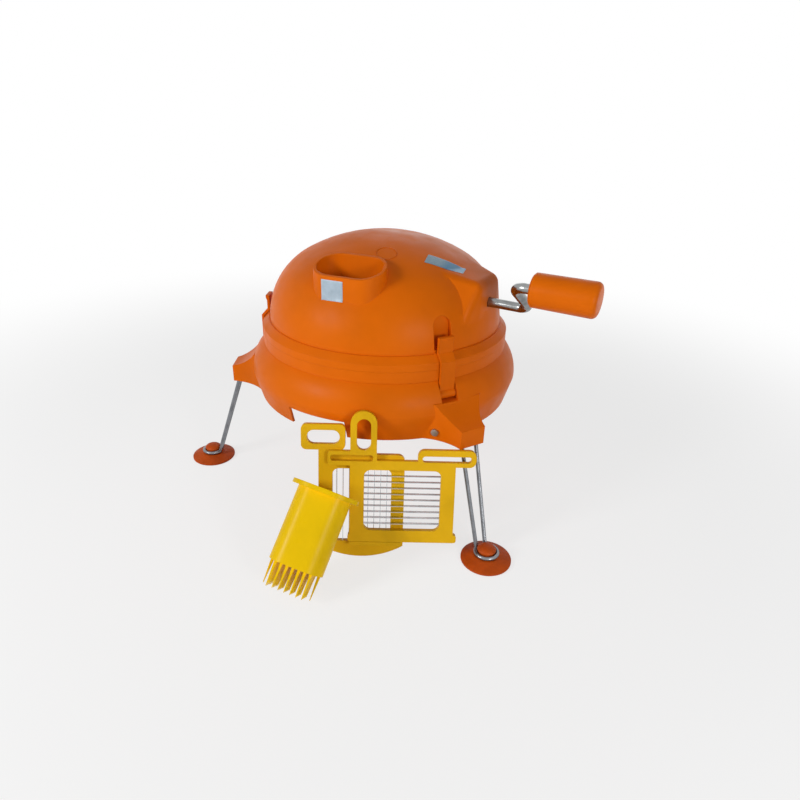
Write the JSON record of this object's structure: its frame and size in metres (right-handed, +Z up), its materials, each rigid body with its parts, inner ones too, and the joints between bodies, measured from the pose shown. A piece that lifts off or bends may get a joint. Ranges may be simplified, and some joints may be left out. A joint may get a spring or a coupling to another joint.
{
  "type": "rotary vegetable dicer",
  "caption": "Hand-cranked rotary vegetable dicer: domed cover with a feed chute and a geared crank on a round body with wire legs, suction feet, a pusher and cutting frames.",
  "frame": {"origin": "on the table, under the rotor axis, in the plane of the suction feet", "axes": "+Z up along the rotor axis, the feed chute at the front towards -Y, the crank shaft towards +X"},
  "size_m": [0.5499, 0.6201, 0.35],
  "materials": {
    "orange_plastic": "moulded, soft gloss",
    "orange_rubber": "soft moulded rubber",
    "yellow_plastic": "moulded, soft gloss",
    "pusher_plastic": "moulded, soft gloss",
    "white_nylon": "natural nylon",
    "bush_bronze": "sintered bronze",
    "bright_steel": "bright drawn rod",
    "leg_wire": "dull zinc",
    "blade_steel": "ground strip",
    "fitting_steel": "plain zinc"
  },
  "bodies": {
    "base": {"lower_body": "orange_plastic", "latch_pins": "fitting_steel", "spindle": "fitting_steel", "spindle_nut": "fitting_steel", "spindle_clip": "fitting_steel", "leg_1": "leg_wire", "leg_2": "leg_wire", "leg_3": "leg_wire", "suction_cup_1": "orange_rubber", "suction_cup_2": "orange_rubber", "suction_cup_3": "orange_rubber", "ear_screws": "fitting_steel", "pusher": "pusher_plastic", "wire_frame": "yellow_plastic", "cutting_wires": "blade_steel", "blade_frame": "yellow_plastic", "cutting_blades": "blade_steel"},
    "cover": {"dome_cover": "orange_plastic", "crank_bush": "white_nylon"},
    "crank": {"crank_rod": "bright_steel", "drive_pinion": "white_nylon", "pinion_pin": "fitting_steel", "shaft_collar": "fitting_steel", "grip_clip": "fitting_steel"},
    "grip": {"crank_grip": "orange_plastic"},
    "rotor": {"rotor_disc": "white_nylon", "crown_gear": "white_nylon", "gear_screws": "fitting_steel", "rotor_knife": "blade_steel", "knife_screws": "fitting_steel", "rotor_bushes": "bush_bronze"},
    "latch_1": {"latch_1": "orange_plastic"},
    "latch_2": {"latch_2": "orange_plastic"},
    "latch_3": {"latch_3": "orange_plastic"}
  },
  "joints": [
    {"name": "cover_lift", "type": "slide", "parent": "base", "child": "cover", "axis": [0, 0, 1], "range_m": [0, 0.035]},
    {"name": "crank_turn", "type": "hinge", "parent": "cover", "child": "crank", "pos_m": [0.1, 0, 0.281], "axis": [1, 0, 0], "continuous": true},
    {"name": "grip_spin", "type": "hinge", "parent": "crank", "child": "grip", "pos_m": [0.25, -0.04965, 0.31979], "axis": [1, 0, 0], "continuous": true},
    {"name": "rotor_turn", "type": "hinge", "parent": "base", "child": "rotor", "pos_m": [0, 0, 0.205], "axis": [0, 0, 1], "continuous": true},
    {"name": "latch_1_swing", "type": "hinge", "parent": "base", "child": "latch_1", "pos_m": [-0.15209, -0.07583, 0.19], "axis": [0.4462, -0.8949, 0], "range_deg": [0, 55]},
    {"name": "latch_2_swing", "type": "hinge", "parent": "base", "child": "latch_2", "pos_m": [0.14172, -0.0938, 0.19], "axis": [0.5519, 0.8339, 0], "range_deg": [0, 55]},
    {"name": "latch_3_swing", "type": "hinge", "parent": "base", "child": "latch_3", "pos_m": [0.01038, 0.16963, 0.19], "axis": [-0.9981, 0.061, 0], "range_deg": [0, 55]}
  ],
  "couplings": [
    {"joint": "rotor_turn", "follows": "crank_turn", "ratio": 0.33333},
    {"joint": "latch_1_swing", "follows": "cover_lift", "rad_per_m": 27.4},
    {"joint": "latch_2_swing", "follows": "cover_lift", "rad_per_m": 27.4},
    {"joint": "latch_3_swing", "follows": "cover_lift", "rad_per_m": 27.4}
  ]
}
